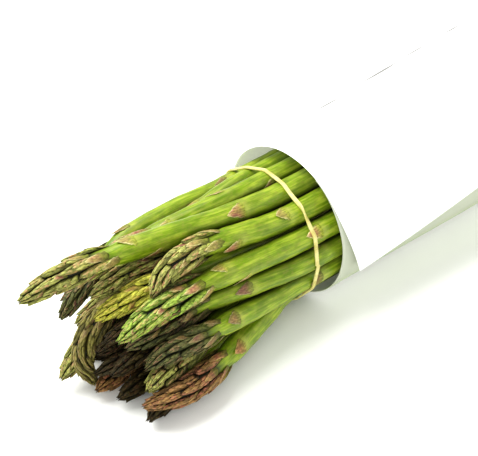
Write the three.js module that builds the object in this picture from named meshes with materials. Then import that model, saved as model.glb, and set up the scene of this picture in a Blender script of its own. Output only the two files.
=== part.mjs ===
// A bundle of green asparagus lying on a table, held by one thin rubber band,
// with its lower stalks rolled in a sheet of white paper.
//
// Millimetres, +Z up. The spears run along X with their heads towards -X and their cut ends
// towards +X. The rubber band lies about the plane x = 0 while the bundle is laid out, and the
// table is z = 0. The finished group is moved so that the middle of its footprint is the origin.
import * as THREE from "three";

// Bundle
const BUNDLE_CENTRE_Z = 32.6;      // height of the bundle's middle at the band
const RING_Y = 28.4;               // outer ring of spears at the band, half width to their centres
const RING_Z = 25.4;               // the same ring, half height
const HOLD_ROOM = 4.9;             // room outside that ring for the outer spears' own thickness
const HELD_X = -10;                // the spears are held from here back
const FREE_X = -40;                // and free from here on
const FREE_ROOM = 12;              // extra room where the hold ends
const STALKS_X = -20;              // only stalks lie on the table from here back, heads in front of it
const UNDER_STALKS = 2.2;          // height of the lowest stalks over the table, for band and paper
const UNDER_HEADS = 0.1;
const BUTT_X = 124;                // cut ends
const SPEAR_GAP = 0.2;             // air kept between two spears
const BAND_TILT = 0.1;             // lean of the band's plane, towards the cut ends at the top

// Spear surface
const SIDES = 8;                   // sides of a stalk, and rows of bracts round a head
const TURN_STEP = 3;               // rows from one bract to the next one up, so 3/8 of a turn
const BRACT_RISE = 0.36;           // height from one bract to the next, as a share of the radius
const SMALLEST_RISE = 0.42;        // but at least this
const BRACT_END_FROM_TIP = 1.6;    // the bracts of the head end this far from its tip
const BRACT_RELIEF = 0.6;          // step at the tip of a bract that lies on the stalk
const STALK_BRACT_LENGTH = 9.5;
const FIRST_BRACT_BELOW_HEAD = 6;
const BRACT_SPACING = 11;          // first distance between two stalk bracts
const BRACT_SPACING_GROWTH = 6;    // how much longer each next distance is
const BRACT_END_MARGIN = 12;       // no stalk bract closer than this to the cut end

// Spears: name, diameter, place round the bundle in degrees (0 back, 90 top, 180 front),
// layer (1 outer ring, 0 middle), spread beyond the band as a slope away from the middle,
// tip x, y, z, droop and swing of the head in degrees, length of the head, the turn of its
// bracts in degrees, and its tint
const SPEARS = [
  ["spear_01", 10.6, 111, 1.00, 0.05, -121, 11, 54, 14, -8, 46, 230, "olive"],
  ["spear_02", 9.6, 42, 1.00, 0, -97, 19, 28, 30, 4, 42, 250, "dusky"],
  ["spear_03", 9.0, 64, 1.00, 0, -76, 17, 35, 14, -4, 38, 45, "olive"],
  ["spear_04", 9.4, 87, 0.98, 0, -86, 14, 46, 10, -4, 36, 180, "olive"],
  ["spear_05", 10.6, 135, 1.00, 0.04, -78, -19, 50, 36, 16, 42, 115, "olive"],
  ["spear_06", 10.4, 158, 1.00, 0, -97, -20, 39, 16, 2, 48, 220, "fresh"],
  ["spear_07", 9.8, 180, 1.00, 0, -90, -16, 29, 16, -8, 42, 295, "dusky"],
  ["spear_08", 9.8, 200, 1.00, 0, -90, -28, 26, 12, 6, 40, 180, "dusky"],
  ["spear_09", 10.4, 221, 1.00, 0.22, -97, -34, 14, 4, -10, 48, 170, "brown"],
  ["spear_10", 9.0, 245, 1.00, 0, -95, -34, 5.5, 0, 22, 36, 90, "dark"],
  ["spear_11", 9.4, 268, 1.00, 0, -96, -16, 6, 2, 6, 40, 0, "dark"],
  ["spear_12", 9.4, 290, 1.00, 0, -100, -7, 7, 8, 14, 40, 45, "brown"],
  ["spear_13", 9.8, 312, 1.00, 0, -107, 8, 8, 28, 6, 42, 0, "olive"],
  ["spear_14", 9.4, 335, 1.00, 0, -88, 19, 6.5, 4, -2, 38, 90, "dusky"],
  ["spear_15", 9.6, 357, 1.00, 0, -84, 27, 13, 6, -2, 38, 90, "olive"],
  ["spear_16", 9.4, 19, 1.00, 0, -76, 28, 25, 8, -2, 38, 0, "olive"],
  ["spear_17", 9.6, 100, 0.62, 0, -91, 5, 44, 14, -12, 46, 300, "olive"],
  ["spear_18", 9.8, 150, 0.62, 0, -94, -1, 37.5, 6, -16, 44, 45, "yellow"],
  ["spear_19", 9.8, 208, 0.62, 0, -94, -33, 20, 12, 2, 44, 70, "olive"],
  ["spear_20", 10.2, 54, 0.60, 0, -98, -3, 7, 48, 131, 48, 45, "khaki"],
  ["spear_21", 9.2, 178, 0.58, 0, -99, -17, 21, 12, 4, 40, 0, "dark"],
  ["spear_22", 9.2, 10, 0.60, 0, -74, 14, 27, 8, 0, 38, 90, "dusky"],
  ["spear_23", 9.2, 332, 0.60, 0, -93, 3, 14, 8, 0, 38, 0, "dark"],
  ["spear_24", 9.2, 262, 0.60, 0, -98, -4, 11, 6, 0, 38, 45, "dark"],
  ["spear_25", 9.0, 80, 0.12, 0, -96, -10, 32, 6, 0, 40, 45, "dusky"],
  ["spear_26", 9.0, 270, 0.16, 0, -97, -5, 24, 6, 0, 38, 0, "dark"],
];

const TINTS = { fresh: 0x86a53a, yellow: 0x9aa53f, olive: 0x7d8f42, khaki: 0x7c7a45,
  dusky: 0x6c7038, brown: 0x7d6a3f, dark: 0x4f5532 };

// Rubber band
const BAND_WIDTH = 2.2;
const BAND_THICKNESS = 1.2;
const BAND_GAP = 0.3;              // air kept to the spears
const BAND_STATIONS = 56;
const BAND_LOOK_POINTS = 240;      // points of a spear among which its place under the band is found
const BAND_RIM_POINTS = 48;        // points round each spear that the band may touch

// Paper, rolled once round the stalks and lapped over itself
const PAPER_THICKNESS = 0.7;
const PAPER_FRONT_X = 13;          // open end that the spears come out of
const PAPER_BACK_X = 160;          // open end behind the cut ends
const PAPER_FRONT_Y = 36.8;        // half width of the roll at the front end
const PAPER_FRONT_Z = 35.8;        // half height there, before it sinks onto the table
const PAPER_BACK_Y = 42;
const PAPER_BACK_Z = 41;
const PAPER_SINK = 1.3;            // how much of the round underside is pressed flat on the table
const PAPER_OUTER_END = 191;       // degrees round the bundle where the outer edge of the sheet ends
const PAPER_TURN = 431;            // degrees that the sheet goes round
const PAPER_LAYER_GAP = 1.5;       // between the middles of its two layers
const PAPER_FLAP_LIFT = 3.0;       // how far the outer edge stands off
const PAPER_FLAP_TURN = 42;        // degrees over which it lifts
const PAPER_CORNER_SLANT = 8;      // how far the outer corner lies behind the front end
const PAPER_CORNER_TURN = 60;      // degrees over which the front end comes forward from there
const PAPER_LENGTH_STEPS = 3;
const PAPER_TURN_STEPS = 40;

const RAD = Math.PI / 180;

// Settling of the spears
const CENTRE_POINTS = 25;          // points that carry a spear's middle line
const SETTLE_ROUNDS = 400;
const SMOOTH_ROUNDS = 392;         // all but the last few also smooth the lines
const PUSH = 0.2;                  // share of an overlap that is pushed apart in one round
const PUSH_ALONG = 0.15;           // share of a push that may go along the bundle
const LONGEST_MOVE = 1.2;          // in one round
const LOOK_AHEAD = 30;             // no two points further apart along X can touch

const mix = (a, b, t) => a + (b - a) * t;
const clamp = (value, low, high) => Math.min(high, Math.max(low, value));

// Value at x on a line through points [x, value] that are in order
function ramp(points, x) {
  if (x <= points[0][0]) return points[0][1];
  for (let i = 1; i < points.length; i++) {
    const [x1, v1] = points[i];
    if (x <= x1) {
      const [x0, v0] = points[i - 1];
      return mix(v0, v1, (x - x0) / (x1 - x0));
    }
  }
  return points[points.length - 1][1];
}

// Radius of a head, its bracts included, at a distance from its tip
function headRadius(spear, fromTip) {
  const share = fromTip / spear.head;
  return spear.radius * ramp([[0, 0.14], [0.04, 0.42], [0.1, 0.62], [0.2, 0.84], [0.36, 1.06],
    [0.56, 1.2], [0.8, 1.18], [1, 1.08], [1.4, 1]], share);
}

// How far a bract's tip stands out of a head
function headRelief(radius) {
  return 0.14 * radius + 0.25;
}

// Places of the bracts on the stalk, as distances of their feet from the tip of the spear
function stalkBractFeet(spear) {
  const feet = [];
  let foot = spear.head + FIRST_BRACT_BELOW_HEAD;
  let spacing = BRACT_SPACING;
  while (foot < spear.length - BRACT_END_MARGIN) {
    feet.push(foot);
    foot += spacing;
    spacing += BRACT_SPACING_GROWTH;
  }
  return feet;
}

// Room that a spear needs round its middle line at a distance from its tip
function roomRadius(spear, fromTip) {
  return Math.max(headRadius(spear, fromTip), fromTip > spear.head ? spear.radius : 0) + 0.15;
}

// Middle line of a spear before it settles: straight from the cut end to the band,
// then one bend to the tip
function firstLine(spear) {
  const clock = spear.clock * RAD;
  const band = new THREE.Vector3(0, RING_Y * spear.layer * Math.cos(clock),
    BUNDLE_CENTRE_Z + RING_Z * spear.layer * Math.sin(clock));
  const butt = band.clone().setX(BUTT_X);
  const reach = spear.tip.distanceTo(band) / 3;
  const ahead = new THREE.Vector3(-Math.cos(spear.swing) * Math.cos(spear.droop),
    -Math.sin(spear.swing) * Math.cos(spear.droop), -Math.sin(spear.droop));
  const leaving = new THREE.Vector3(-1,
    spear.spread * Math.cos(clock), spear.spread * Math.sin(clock));
  const free = new THREE.CubicBezierCurve3(band, band.clone().addScaledVector(leaving, reach),
    spear.tip.clone().addScaledVector(ahead, -reach), spear.tip);
  const straight = Math.round(CENTRE_POINTS * BUTT_X / (BUTT_X + free.getLength()));
  const points = [];
  for (let i = 0; i < straight; i++) points.push(butt.clone().lerp(band, i / straight));
  for (let i = straight; i < CENTRE_POINTS; i++) {
    points.push(free.getPoint((i - straight) / (CENTRE_POINTS - 1 - straight)));
  }
  return points;
}

function lineLength(points) {
  let length = 0;
  for (let i = 1; i < points.length; i++) length += points[i].distanceTo(points[i - 1]);
  return length;
}

function makeSpear([name, diameter, clock, layer, spread, x, y, z, droop, swing, head, turn, tint]) {
  const spear = { name, radius: diameter / 2, clock, layer, spread, tip: new THREE.Vector3(x, y, z),
    droop: droop * RAD, swing: swing * RAD, head, turn: turn * RAD, color: TINTS[tint] };
  spear.start = firstLine(spear);
  spear.length = lineLength(spear.start);
  spear.line = spear.start.map((point) => point.clone());
  const spacing = [0];
  for (let i = 1; i < CENTRE_POINTS; i++) {
    spacing.push(spacing[i - 1] + spear.start[i].distanceTo(spear.start[i - 1]));
  }
  spear.room = spacing.map((s) => roomRadius(spear, spear.length - s));
  return spear;
}

// Pushes of two spears on each other where they come too close
function pushApart(one, other, moves, otherMoves) {
  const away = new THREE.Vector3();
  const along = new THREE.Vector3();
  for (let i = 0; i < CENTRE_POINTS; i++) {
    const point = one.line[i];
    for (let k = 0; k < CENTRE_POINTS - 1; k++) {
      const from = other.line[k];
      if (Math.abs(from.x - point.x) > LOOK_AHEAD) continue;
      along.subVectors(other.line[k + 1], from);
      away.subVectors(point, from);
      const t = clamp(away.dot(along) / along.lengthSq(), 0, 1);
      away.addScaledVector(along, -t);
      const distance = away.length();
      const wanted = one.room[i] + mix(other.room[k], other.room[k + 1], t) + SPEAR_GAP;
      if (distance >= wanted) continue;
      away.multiplyScalar(PUSH * (wanted - distance) / distance);
      moves[i].add(away);
      otherMoves[k].addScaledVector(away, t - 1);
      otherMoves[k + 1].addScaledVector(away, -t);
    }
  }
}

// Keeps a spear on the table and, from the band back, inside what holds the bundle.
// The hold fades out in front of the band.
function holdIn(spear) {
  for (let i = 0; i < CENTRE_POINTS; i++) {
    const point = spear.line[i];
    const room = spear.room[i];
    const held = clamp((point.x - FREE_X) / (HELD_X - FREE_X), 0, 1);
    const underneath = point.x > STALKS_X ? UNDER_STALKS : UNDER_HEADS;
    point.z = Math.max(point.z, room + underneath);
    if (held === 0) continue;
    const halfY = RING_Y + HOLD_ROOM - room + FREE_ROOM * (1 - held);
    const halfZ = RING_Z + HOLD_ROOM - room + FREE_ROOM * (1 - held);
    const high = point.z - BUNDLE_CENTRE_Z;
    const out = Math.hypot(point.y / halfY, high / halfZ);
    if (out <= 1) continue;
    point.y /= out;
    point.z = BUNDLE_CENTRE_Z + high / out;
  }
}

// Spreads each spear's shift along it, so that it stays a smooth line
function smoothShift(spear) {
  const shift = spear.line.map((point, i) => point.clone().sub(spear.start[i]));
  for (let i = 1; i < CENTRE_POINTS - 1; i++) {
    const even = shift[i].clone().multiplyScalar(0.5)
      .addScaledVector(shift[i - 1], 0.25).addScaledVector(shift[i + 1], 0.25);
    spear.line[i].copy(spear.start[i]).add(even);
  }
}

// Lets the spears settle against each other
function settle(spears) {
  for (let round = 0; round < SETTLE_ROUNDS; round++) {
    const moves = spears.map((spear) => spear.line.map(() => new THREE.Vector3()));
    spears.forEach((one, a) => spears.forEach((other, b) => {
      if (a !== b) pushApart(one, other, moves[a], moves[b]);
    }));
    spears.forEach((spear, a) => {
      spear.line.forEach((point, i) => {
        const move = moves[a][i];
        move.x *= PUSH_ALONG;
        point.add(move.clampLength(0, LONGEST_MOVE));
      });
      holdIn(spear);
      if (round < SMOOTH_ROUNDS) smoothShift(spear);
    });
  }
}

// Point on a spear at a distance from its cut end, and the two directions across it
function frameAt(spear, s) {
  const at = clamp(s / spear.settledLength, 0, 1);
  const centre = spear.curve.getPointAt(at);
  const ahead = spear.curve.getTangentAt(at);
  const side = new THREE.Vector3(0, 0, 1).cross(ahead).normalize();
  const up = ahead.clone().cross(side);
  return { centre, side, up };
}

// Gathers vertices and triangles of one closed surface
class Surface {
  constructor() {
    this.positions = [];
    this.triangles = [];
  }

  add(point) {
    this.positions.push(point.x, point.y, point.z);
    return this.positions.length / 3 - 1;
  }

  face(a, b, c) {
    this.triangles.push(a, b, c);
  }

  geometry() {
    const geometry = new THREE.BufferGeometry();
    geometry.setAttribute("position", new THREE.Float32BufferAttribute(this.positions, 3));
    geometry.setIndex(this.triangles);
    geometry.computeVertexNormals();
    return geometry;
  }
}

// A bract as a fan round its raised keel, with a step down along both upper edges.
// foot, right and left lie on the skin, tip is the raised apex and under is the skin below it.
function addBract(surface, corner, raised) {
  const { foot, right, left, under } = corner;
  const { keel, tip, rightEdge, leftEdge } = raised;
  const rim = [...foot, right, rightEdge, tip, leftEdge, left];
  rim.forEach((vertex, i) => surface.face(keel, vertex, rim[(i + 1) % rim.length]));
  surface.face(tip, rightEdge, under);
  surface.face(rightEdge, right, under);
  surface.face(leftEdge, tip, under);
  surface.face(left, leftEdge, under);
}

// One spear: a stalk with eight sides and a few bracts on it, and a head of overlapping bracts
function spearGeometry(spear) {
  const surface = new Surface();
  const total = spear.settledLength;
  const pointOn = (s, angle, radius) => {
    const { centre, side, up } = frameAt(spear, s);
    return surface.add(centre.clone().addScaledVector(side, radius * Math.cos(angle))
      .addScaledVector(up, radius * Math.sin(angle)));
  };
  const sideAngle = (row) => spear.turn + row * 2 * Math.PI / SIDES;

  // Lattice of the head, from its lowest point up to the tip
  const lattice = [];
  for (let fromTip = spear.head; fromTip > BRACT_END_FROM_TIP;) {
    const radius = headRadius(spear, fromTip);
    lattice.push({ s: total - fromTip, radius });
    fromTip -= Math.max(BRACT_RISE * radius, SMALLEST_RISE);
  }
  const bracts = lattice.length - SIDES;
  const rowOf = (j) => (((TURN_STEP * j) % SIDES) + SIDES) % SIDES;

  // Stalk rings: one at the cut end, one at the foot and one at the tip of each bract
  const rings = [{ s: 0 }];
  stalkBractFeet(spear).reverse().forEach((foot, k, feet) => {
    const row = rowOf(k - feet.length);
    rings.push({ s: total - foot, bractRow: row });
    rings.push({ s: total - foot + STALK_BRACT_LENGTH });
  });
  rings.push({ s: lattice[0].s - 2.5 });
  const stalkRadius = (s) => spear.radius * ramp([[0, 1.03], [0.35, 1], [0.75, 0.96]], s / total);
  const ringVertices = rings.map(({ s }) => {
    const vertices = [];
    for (let row = 0; row < SIDES; row++) vertices.push(pointOn(s, sideAngle(row), stalkRadius(s)));
    return vertices;
  });

  // Cut end
  const buttCentre = surface.add(frameAt(spear, 0).centre);
  for (let row = 0; row < SIDES; row++) {
    surface.face(buttCentre, ringVertices[0][(row + 1) % SIDES], ringVertices[0][row]);
  }

  // Stalk, with its bracts
  for (let m = 0; m < rings.length - 1; m++) {
    const low = ringVertices[m];
    const high = ringVertices[m + 1];
    const bractRow = rings[m].bractRow;
    for (let row = 0; row < SIDES; row++) {
      const next = (row + 1) % SIDES;
      if (row === bractRow) {
        surface.face(low[next], high[next], high[row]);
      } else if (next === bractRow) {
        surface.face(low[row], high[next], high[row]);
      } else {
        surface.face(low[row], low[next], high[next]);
        surface.face(low[row], high[next], high[row]);
      }
    }
    if (bractRow === undefined) continue;
    const foot = rings[m].s;
    const radius = stalkRadius(foot);
    const before = (bractRow + SIDES - 1) % SIDES;
    const after = (bractRow + 1) % SIDES;
    const at = (share, across, lift) => pointOn(foot + share * STALK_BRACT_LENGTH,
      sideAngle(bractRow + across), radius + lift * BRACT_RELIEF);
    addBract(surface,
      { foot: [low[before], low[bractRow]], right: low[after], left: low[before],
        under: high[bractRow] },
      { keel: at(0.45, 0, 1), tip: at(1, 0, 1), rightEdge: at(0.55, 0.62, 0.8),
        leftEdge: at(0.55, -0.62, 0.8) });
  }

  // Head: skin points, then a bract on each
  const skin = lattice.map(({ s, radius }, j) => {
    const under = j < SIDES ? mix(stalkRadius(s), radius, 0.5) : radius - headRelief(radius);
    return pointOn(s, sideAngle(rowOf(j)), under);
  });
  const top = ringVertices[ringVertices.length - 1];
  const cycle = (first) => {
    const order = [];
    for (let j = first; j < first + SIDES; j++) order[rowOf(j)] = skin[j];
    return order;
  };
  const firstCycle = cycle(0);
  for (let row = 0; row < SIDES; row++) {
    const next = (row + 1) % SIDES;
    surface.face(top[row], top[next], firstCycle[next]);
    surface.face(top[row], firstCycle[next], firstCycle[row]);
  }
  for (let i = 0; i < bracts; i++) {
    const foot = lattice[i];
    const apex = lattice[i + SIDES];
    const row = rowOf(i);
    const at = (share, across, lift) => {
      const radius = mix(foot.radius, apex.radius, share);
      return pointOn(mix(foot.s, apex.s, share), sideAngle(row + across),
        radius - (1 - lift) * headRelief(radius));
    };
    addBract(surface,
      { foot: [skin[i]], right: skin[i + TURN_STEP], left: skin[i + SIDES - TURN_STEP],
        under: skin[i + SIDES] },
      { keel: at(0.5, 0, 1), tip: at(1, 0, 1), rightEdge: at(0.72, 0.58, 0.75),
        leftEdge: at(0.82, -0.58, 0.75) });
  }
  const tip = surface.add(frameAt(spear, total).centre);
  const lastCycle = cycle(bracts);
  for (let row = 0; row < SIDES; row++) {
    surface.face(lastCycle[row], lastCycle[(row + 1) % SIDES], tip);
  }
  return surface.geometry();
}

// Middle line of the band: the tightest loop round the spears, in its leaning plane
function bandLoop(spears) {
  const planeX = (z) => BAND_TILT * (z - BUNDLE_CENTRE_Z);
  const rim = [];
  for (const spear of spears) {
    const samples = spear.curve.getSpacedPoints(BAND_LOOK_POINTS);
    const crossing = samples.find((point) => point.x < planeX(point.z));
    const middle = new THREE.Vector2(crossing.y, crossing.z);
    const reach = spear.radius + BRACT_RELIEF / 2 + BAND_GAP + BAND_THICKNESS / 2;
    for (let k = 0; k < BAND_RIM_POINTS; k++) {
      const angle = k * 2 * Math.PI / BAND_RIM_POINTS;
      const out = new THREE.Vector2(reach * Math.cos(angle), reach * Math.sin(angle));
      rim.push(out.add(middle));
    }
  }
  rim.sort((a, b) => a.x - b.x || a.y - b.y);
  const chain = (points) => {
    const kept = [];
    for (const point of points) {
      while (kept.length > 1) {
        const [a, b] = kept.slice(-2);
        if (b.clone().sub(a).cross(point.clone().sub(a)) > 0) break;
        kept.pop();
      }
      kept.push(point);
    }
    return kept.slice(0, -1);
  };
  const hull = [...chain(rim), ...chain(rim.reverse())];
  const outline = new THREE.CurvePath();
  hull.forEach((point, i) => outline.add(new THREE.LineCurve(point, hull[(i + 1) % hull.length])));
  return outline.getSpacedPoints(BAND_STATIONS).slice(0, -1)
    .map(({ x: y, y: z }) => new THREE.Vector3(planeX(z), y, z));
}

// The rubber band: a flat section carried round its loop
function bandGeometry(spears) {
  const surface = new Surface();
  const loop = bandLoop(spears);
  const count = loop.length;
  const sections = loop.map((point, i) => {
    const ahead = loop[(i + 1) % count].clone().sub(loop[(i + count - 1) % count]);
    const outward = new THREE.Vector3(0, ahead.z, -ahead.y).normalize();
    const corner = (along, out) => surface.add(point.clone()
      .addScaledVector(outward, out * BAND_THICKNESS / 2)
      .add(new THREE.Vector3(along * BAND_WIDTH / 2, 0, 0)));
    return [corner(-1, -1), corner(1, -1), corner(1, 1), corner(-1, 1)];
  });
  sections.forEach((section, i) => {
    const next = sections[(i + 1) % count];
    for (let k = 0; k < 4; k++) {
      const after = (k + 1) % 4;
      surface.face(section[k], next[after], next[k]);
      surface.face(section[k], section[after], next[after]);
    }
  });
  return surface.geometry();
}

// Middle of the sheet, by the degrees it has turned from its outer edge and by its length share.
// With it comes the direction out of the roll.
function sheetPoint(turned, share) {
  const nearEdge = Math.max(0, 1 - turned / PAPER_FLAP_TURN) ** 2;
  const inward = PAPER_LAYER_GAP * turned / 360 - PAPER_FLAP_LIFT * nearEdge;
  const nearCorner = Math.max(0, 1 - turned / PAPER_CORNER_TURN) ** 2;
  const frontX = PAPER_FRONT_X + PAPER_CORNER_SLANT * nearCorner;
  const bottomInward = PAPER_LAYER_GAP * (PAPER_OUTER_END + 90) / 360;
  const halfZ = mix(PAPER_FRONT_Z, PAPER_BACK_Z, share);
  const centreZ = halfZ - bottomInward - PAPER_SINK + PAPER_THICKNESS / 2;
  const clock = (PAPER_OUTER_END - turned) * RAD;
  return new THREE.Vector3(mix(frontX, PAPER_BACK_X, share),
    (mix(PAPER_FRONT_Y, PAPER_BACK_Y, share) - inward) * Math.cos(clock),
    Math.max(PAPER_THICKNESS / 2, centreZ + (halfZ - inward) * Math.sin(clock)));
}

// The sheet of paper: one slab with an outer and an inner face
function paperGeometry() {
  const surface = new Surface();
  const outer = [];
  const inner = [];
  for (let i = 0; i <= PAPER_LENGTH_STEPS; i++) {
    const share = i / PAPER_LENGTH_STEPS;
    outer.push([]);
    inner.push([]);
    for (let k = 0; k <= PAPER_TURN_STEPS; k++) {
      const turned = k * PAPER_TURN / PAPER_TURN_STEPS;
      const middle = sheetPoint(turned, share);
      const along = sheetPoint(turned + 0.5, share).sub(sheetPoint(turned - 0.5, share));
      const outward = new THREE.Vector3(0, -along.z, along.y).normalize();
      outer[i].push(surface.add(middle.clone().addScaledVector(outward, PAPER_THICKNESS / 2)));
      inner[i].push(surface.add(middle.clone().addScaledVector(outward, -PAPER_THICKNESS / 2)));
    }
  }
  const quad = (a, b, c, d) => {
    surface.face(a, b, c);
    surface.face(a, c, d);
  };
  const lastX = PAPER_LENGTH_STEPS;
  const lastTurn = PAPER_TURN_STEPS;
  for (let i = 0; i < lastX; i++) {
    for (let k = 0; k < lastTurn; k++) {
      quad(outer[i][k], outer[i + 1][k], outer[i + 1][k + 1], outer[i][k + 1]);
      quad(inner[i][k], inner[i][k + 1], inner[i + 1][k + 1], inner[i + 1][k]);
    }
    quad(outer[i][0], inner[i][0], inner[i + 1][0], outer[i + 1][0]);
    quad(outer[i][lastTurn], outer[i + 1][lastTurn], inner[i + 1][lastTurn], inner[i][lastTurn]);
  }
  for (let k = 0; k < lastTurn; k++) {
    quad(outer[0][k], outer[0][k + 1], inner[0][k + 1], inner[0][k]);
    quad(outer[lastX][k], inner[lastX][k], inner[lastX][k + 1], outer[lastX][k + 1]);
  }
  return surface.geometry();
}

const group = new THREE.Group();

function addPiece(name, geometry, color, roughness) {
  const material = new THREE.MeshStandardMaterial({ color, roughness, metalness: 0 });
  const mesh = new THREE.Mesh(geometry, material);
  mesh.name = name;
  group.add(mesh);
}

const spears = SPEARS.map(makeSpear);
settle(spears);
for (const spear of spears) {
  spear.curve = new THREE.CatmullRomCurve3(spear.line, false, "catmullrom", 0.5);
  spear.settledLength = spear.curve.getLength();
  addPiece(spear.name, spearGeometry(spear), spear.color, 0.5);
}
addPiece("rubber_band", bandGeometry(spears), 0xe6dfae, 0.6);
addPiece("paper_wrap", paperGeometry(), 0xf4f4f1, 0.9);

// The middle of the footprint becomes the origin
const box = new THREE.Box3().setFromObject(group);
const middle = box.getCenter(new THREE.Vector3()).setZ(box.min.z);
for (const mesh of group.children) mesh.position.copy(middle).negate();

export default group;
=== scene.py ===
"""A bundle of green asparagus, held by a rubber band, its lower stalks rolled in white paper."""

import math

import bpy
import numpy as np
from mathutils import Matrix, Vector


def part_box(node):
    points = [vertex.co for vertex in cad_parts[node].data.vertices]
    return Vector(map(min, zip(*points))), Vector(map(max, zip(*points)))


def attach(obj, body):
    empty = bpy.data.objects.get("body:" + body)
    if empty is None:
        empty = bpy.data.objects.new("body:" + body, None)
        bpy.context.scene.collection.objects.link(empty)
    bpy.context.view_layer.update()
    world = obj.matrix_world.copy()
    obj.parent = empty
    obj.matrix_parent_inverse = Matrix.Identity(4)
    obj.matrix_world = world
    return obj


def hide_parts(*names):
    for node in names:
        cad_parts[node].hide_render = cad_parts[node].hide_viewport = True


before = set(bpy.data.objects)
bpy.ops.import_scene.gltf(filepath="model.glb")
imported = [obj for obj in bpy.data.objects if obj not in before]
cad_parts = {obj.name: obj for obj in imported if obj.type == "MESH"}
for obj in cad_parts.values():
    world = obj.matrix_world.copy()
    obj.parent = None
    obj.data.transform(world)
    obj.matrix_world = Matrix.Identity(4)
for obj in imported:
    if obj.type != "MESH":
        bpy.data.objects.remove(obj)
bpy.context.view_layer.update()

# Lengths are in millimetres until a mesh is made. The spears run along X with their heads towards
# -X. While the bundle is laid out, the band lies about x = 0 and the table is z = 0.

# Bundle
BUNDLE_CENTRE_Z = 32.6
RING_Y = 28.4
RING_Z = 25.4
HOLD_ROOM = 4.9
HELD_X = -10
FREE_X = -40
FREE_ROOM = 12
STALKS_X = -20
UNDER_STALKS = 2.2
UNDER_HEADS = 0.1
BUTT_X = 124
SPEAR_GAP = 0.2
BAND_TILT = 0.1
CENTRE_POINTS = 25
SETTLE_ROUNDS = 400
SMOOTH_ROUNDS = 392
PUSH = 0.2
PUSH_ALONG = 0.15
LONGEST_MOVE = 1.2
LOOK_AHEAD = 30
SOON_TOUCHING = 6
INNERMOST_LAYER = 0.2
CURVE_STEPS = 16
CREVICE_OPEN = 2.4
CREVICE_RINGS = 72
CREVICE_SIDES = 20

# Spear
ROWS = 8
TURN_STEP = 3
BRACT_RISE = 0.36
STALK_BRACT_LENGTH = 9.5
FIRST_BRACT_BELOW_HEAD = 6
BRACT_SPACING = 11
BRACT_SPACING_GROWTH = 6
BRACT_END_MARGIN = 12
HEAD_SHARES = [0, 0.04, 0.1, 0.2, 0.36, 0.56, 0.8, 1, 1.4]
HEAD_RADII = [0.14, 0.42, 0.62, 0.84, 1.06, 1.2, 1.18, 1.08, 1]

# Fine detail of a spear. The half width and the lean of a stalk bract are in degrees.
CORE_SIDES = 24
CORE_STATIONS = 24
STALK_STEP = 2.3
GRAIN_APART = 300
CUT_EDGE = [0.05, 0.3, 0.8, 1.6]
CUT_EDGE_ROUNDING = [0.93, 0.97, 1, 1]
CUT_END_SIDES = 28
CUT_END_SHARES = [0.92, 0.8, 0.6, 0.35, 0.1]
STALK_BRACT_HALF = 48
STALK_BRACT_LEAN = 7
RAGGED = 0.13
LAST_BRACT_FROM_TIP = 1.6
LEAST_RISE = 0.42
UNITS_ASTRAY = 0.26
SCALES_CLOSE_UP = 0.25

# Small scales on a bud: place across and along the unit, half width and length
BUD_SCALES = np.array([
    (-0.30, 0.06, 0.16, 0.28),
    (0.02, 0.12, 0.17, 0.28),
    (0.32, 0.10, 0.16, 0.28),
    (-0.31, 0.25, 0.16, 0.28),
    (0.00, 0.32, 0.17, 0.28),
    (0.32, 0.29, 0.16, 0.28),
    (-0.25, 0.45, 0.16, 0.28),
    (0.27, 0.48, 0.16, 0.28),
    (0.01, 0.55, 0.16, 0.28),
    (-0.15, 0.69, 0.14, 0.28),
    (0.16, 0.71, 0.14, 0.28),
    (0.00, 0.83, 0.13, 0.25),
])

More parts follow.
